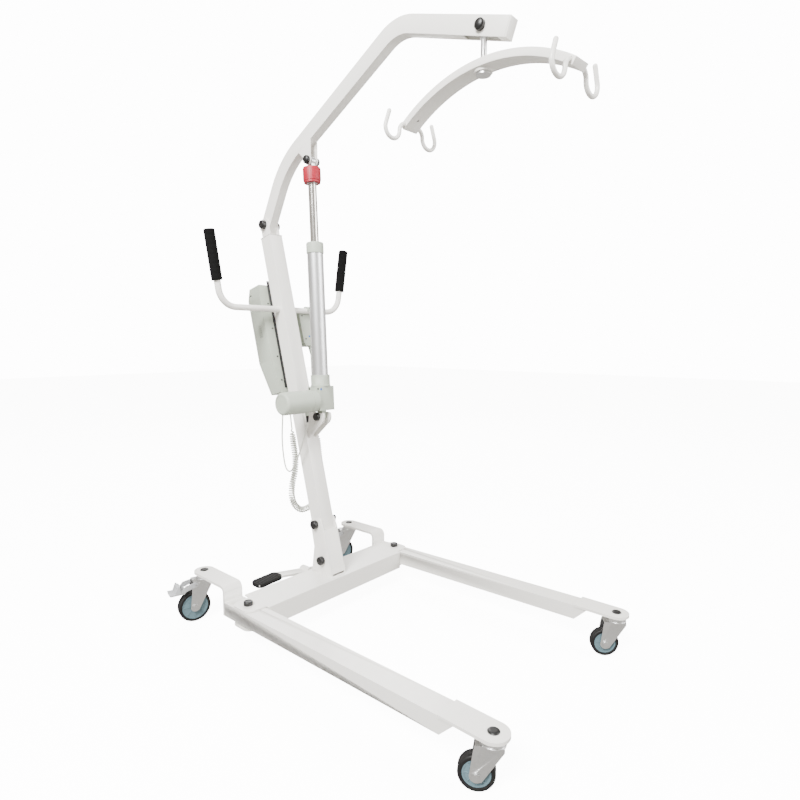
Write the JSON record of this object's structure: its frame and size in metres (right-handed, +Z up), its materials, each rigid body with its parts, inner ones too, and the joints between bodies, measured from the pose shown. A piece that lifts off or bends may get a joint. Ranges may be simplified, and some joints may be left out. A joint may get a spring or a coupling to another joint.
{
  "type": "patient lift hoist",
  "caption": "Wheeled patient hoist with pedal-opened legs, a leaning mast, a cranked boom raised by an electric actuator, and an arched spreader bar with sling hooks.",
  "frame": {"origin": "on the floor, midway between the two leg pivots", "axes": "+Z up, -Y forward along the legs towards the patient, +X to the carer's right"},
  "size_m": [0.7709, 1.1855, 1.6985],
  "materials": {
    "paint": "semi-gloss warm white powder coat",
    "grey_plastic": "fine-textured grey-green moulded housing",
    "black_plastic": "satin black moulded caps and knobs",
    "grip_foam": "closed-cell black foam grip",
    "pad_rubber": "ribbed black rubber",
    "zinc": "bright zinc-plated steel",
    "rod_steel": "polished stainless steel",
    "tube_aluminium": "anodised silver-grey aluminium",
    "tyre": "black non-marking castor tread",
    "hub": "blue-grey moulded castor hub",
    "pedal_grey": "grey moulded brake pedal",
    "collar_red": "crimson moulded lowering collar",
    "stop_red": "red stop button",
    "button_grey": "dark grey membrane button",
    "cord_grey": "light grey cord sheath",
    "battery": "dark battery case",
    "board": "green circuit board",
    "motor_steel": "plain steel motor can"
  },
  "bodies": {
    "frame": {"crossbar": "paint", "mast_foot": "paint", "mast": "paint", "frame_bolts": "zinc", "frame_knobs": "black_plastic", "push_handle": "paint", "handle_grips": "grip_foam", "control_case": "grey_plastic", "battery_pack": "battery", "circuit_boards": "board", "box_rail": "black_plastic", "case_screws": "black_plastic", "handset_case": "grey_plastic", "cord_glands": "black_plastic", "handset_lead": "cord_grey", "handset_coil": "cord_grey", "motor_lead": "cord_grey"},
    "left_leg": {"leg_left": "paint", "left_castor_pins": "zinc", "left_castor_caps": "black_plastic"},
    "right_leg": {"leg_right": "paint", "right_castor_pins": "zinc", "right_castor_caps": "black_plastic"},
    "rocker": {"pedal_rocker": "paint", "pedal_pads": "pad_rubber"},
    "left_tie": {"tie_rod_left": "zinc"},
    "right_tie": {"tie_rod_right": "zinc"},
    "actuator": {"actuator_tube": "tube_aluminium", "tube_cap": "grey_plastic", "gearbox_case": "grey_plastic", "motor_case": "grey_plastic", "motor_core": "motor_steel"},
    "screw": {"spindle": "zinc"},
    "piston": {"piston_rod": "rod_steel", "rod_eye": "zinc"},
    "collar": {"release_collar": "collar_red"},
    "boom": {"boom": "paint", "boom_cap": "paint", "boom_bolts": "zinc", "boom_knobs": "black_plastic"},
    "hanger": {"hanger_rod": "zinc"},
    "bar": {"spreader_bar": "paint", "sling_hooks": "paint"},
    "stop": {"stop_button": "stop_red"},
    "up_button": {"button_up": "button_grey"},
    "down_button": {"button_down": "button_grey"},
    "front_left_swivel": {"front_left_fork": "zinc"},
    "front_left_wheel": {"front_left_hub": "hub", "front_left_tyre": "tyre"},
    "front_right_swivel": {"front_right_fork": "zinc"},
    "front_right_wheel": {"front_right_hub": "hub", "front_right_tyre": "tyre"},
    "rear_left_swivel": {"rear_left_fork": "zinc"},
    "rear_left_wheel": {"rear_left_hub": "hub", "rear_left_tyre": "tyre"},
    "left_brake": {"left_brake_pedal": "pedal_grey"},
    "rear_right_swivel": {"rear_right_fork": "zinc"},
    "rear_right_wheel": {"rear_right_hub": "hub", "rear_right_tyre": "tyre"},
    "right_brake": {"right_brake_pedal": "pedal_grey"}
  },
  "joints": [
    {"name": "left_leg_open", "type": "hinge", "parent": "frame", "child": "left_leg", "pos_m": [-0.312, 0, 0.088], "axis": [0, 0, -1], "range_deg": [0, 10.5]},
    {"name": "right_leg_open", "type": "hinge", "parent": "frame", "child": "right_leg", "pos_m": [0.312, 0, 0.088], "axis": [0, 0, 1], "range_deg": [0, 10.5]},
    {"name": "pedal_rock", "type": "hinge", "parent": "frame", "child": "rocker", "pos_m": [0, 0.06, 0.084], "axis": [0, -1, 0], "range_deg": [0, 20]},
    {"name": "left_tie_slide", "type": "slide", "parent": "frame", "child": "left_tie", "axis": [1, 0, 0], "range_m": [0, 0.0036]},
    {"name": "right_tie_slide", "type": "slide", "parent": "frame", "child": "right_tie", "axis": [-1, 0, 0], "range_m": [0, 0.0036]},
    {"name": "front_left_turn", "type": "hinge", "parent": "left_leg", "child": "front_left_swivel", "pos_m": [-0.31766, -0.80998, 0.1], "axis": [0, 0, 1], "continuous": true},
    {"name": "front_left_roll", "type": "hinge", "parent": "front_left_swivel", "child": "front_left_wheel", "pos_m": [-0.33315, -0.78313, 0.0375], "axis": [-0.866, -0.5, 0], "continuous": true},
    {"name": "front_right_turn", "type": "hinge", "parent": "right_leg", "child": "front_right_swivel", "pos_m": [0.31766, -0.80998, 0.1], "axis": [0, 0, 1], "continuous": true},
    {"name": "front_right_roll", "type": "hinge", "parent": "front_right_swivel", "child": "front_right_wheel", "pos_m": [0.29943, -0.7849, 0.0375], "axis": [-0.809, -0.5878, 0], "continuous": true},
    {"name": "rear_left_turn", "type": "hinge", "parent": "left_leg", "child": "rear_left_swivel", "pos_m": [-0.31036, 0.23499, 0.1], "axis": [0, 0, 1], "continuous": true},
    {"name": "rear_left_roll", "type": "hinge", "parent": "rear_left_swivel", "child": "rear_left_wheel", "pos_m": [-0.3432, 0.24379, 0.0475], "axis": [-0.2588, -0.9659, 0], "continuous": true},
    {"name": "left_brake_press", "type": "hinge", "parent": "rear_left_swivel", "child": "left_brake", "pos_m": [-0.34127, 0.24328, 0.1187], "axis": [0.2588, 0.9659, 0], "range_deg": [0, 18]},
    {"name": "rear_right_turn", "type": "hinge", "parent": "right_leg", "child": "rear_right_swivel", "pos_m": [0.31036, 0.23499, 0.1], "axis": [0, 0, 1], "continuous": true},
    {"name": "rear_right_roll", "type": "hinge", "parent": "rear_right_swivel", "child": "rear_right_wheel", "pos_m": [0.28034, 0.25096, 0.0475], "axis": [-0.4695, -0.8829, 0], "continuous": true},
    {"name": "right_brake_press", "type": "hinge", "parent": "rear_right_swivel", "child": "right_brake", "pos_m": [0.2821, 0.25002, 0.1187], "axis": [0.4695, 0.8829, 0], "range_deg": [0, 18]},
    {"name": "boom_lift", "type": "hinge", "parent": "frame", "child": "boom", "pos_m": [0, 0.2894, 1.24664], "axis": [-1, 0, 0], "range_deg": [-38, 6]},
    {"name": "actuator_swing", "type": "hinge", "parent": "frame", "child": "actuator", "pos_m": [0, 0.033, 0.62], "axis": [-1, 0, 0], "range_deg": [-5.5, 1]},
    {"name": "rod_slide", "type": "slide", "parent": "actuator", "child": "piston", "axis": [0, 0.0454, 0.999], "range_m": [-0.172, 0.03]},
    {"name": "screw_spin", "type": "hinge", "parent": "actuator", "child": "screw", "pos_m": [0, 0.04207, 0.81979], "axis": [0, 0.0454, 0.999], "continuous": true},
    {"name": "collar_turn", "type": "hinge", "parent": "piston", "child": "collar", "pos_m": [0, 0.06702, 1.36923], "axis": [0, 0.0454, 0.999], "range_deg": [0, 90]},
    {"name": "hanger_swing", "type": "hinge", "parent": "boom", "child": "hanger", "pos_m": [0, -0.55577, 1.59216], "axis": [-1, 0, 0], "range_deg": [-30, 32]},
    {"name": "bar_spin", "type": "hinge", "parent": "hanger", "child": "bar", "pos_m": [0, -0.55577, 1.49516], "axis": [0, 0, 1], "continuous": true},
    {"name": "stop_press", "type": "slide", "parent": "frame", "child": "stop", "axis": [0, -0.9673, 0.2538], "range_m": [0, 0.004]},
    {"name": "up_press", "type": "slide", "parent": "frame", "child": "up_button", "axis": [0, -0.9673, 0.2538], "range_m": [0, 0.0015], "stiffness_N_per_m": 600, "springref_m": -0.0005},
    {"name": "down_press", "type": "slide", "parent": "frame", "child": "down_button", "axis": [0, -0.9673, 0.2538], "range_m": [0, 0.0015], "stiffness_N_per_m": 600, "springref_m": -0.0005}
  ],
  "couplings": [
    {"joint": "right_leg_open", "follows": "left_leg_open", "ratio": 1},
    {"joint": "pedal_rock", "follows": "left_leg_open", "ratio": 1.9},
    {"joint": "left_tie_slide", "follows": "left_leg_open", "m_per_rad": 0.019},
    {"joint": "right_tie_slide", "follows": "left_leg_open", "m_per_rad": 0.019},
    {"joint": "actuator_swing", "follows": "boom_lift", "ratio": 0.14},
    {"joint": "rod_slide", "follows": "boom_lift", "m_per_rad": 0.256}
  ]
}
